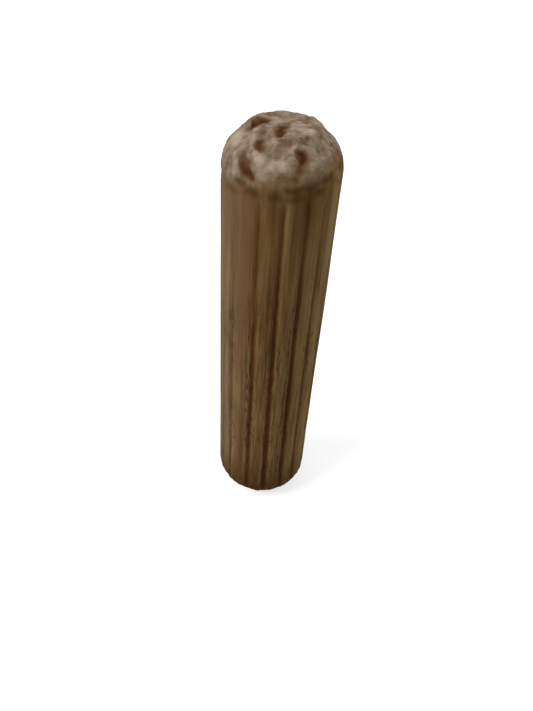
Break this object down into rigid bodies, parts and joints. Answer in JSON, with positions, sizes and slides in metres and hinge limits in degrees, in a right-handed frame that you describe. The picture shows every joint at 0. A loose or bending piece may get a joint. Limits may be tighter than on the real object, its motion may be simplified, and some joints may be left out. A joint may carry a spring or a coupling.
{
  "type": "wooden dowel pin",
  "caption": "Round wooden joining pin with lengthwise glue flutes and tapered ends, standing on one end.",
  "frame": {"origin": "middle of the end face that the pin stands on", "axes": "+Z along the pin, from the end it stands on to the upper end; +X and +Y each through a flute"},
  "size_m": [0.008, 0.008, 0.035],
  "materials": {
    "beech": "bare, pressed, with rough end grain"
  },
  "bodies": {
    "root": {"dowel_pin": "beech"}
  },
  "joints": []
}
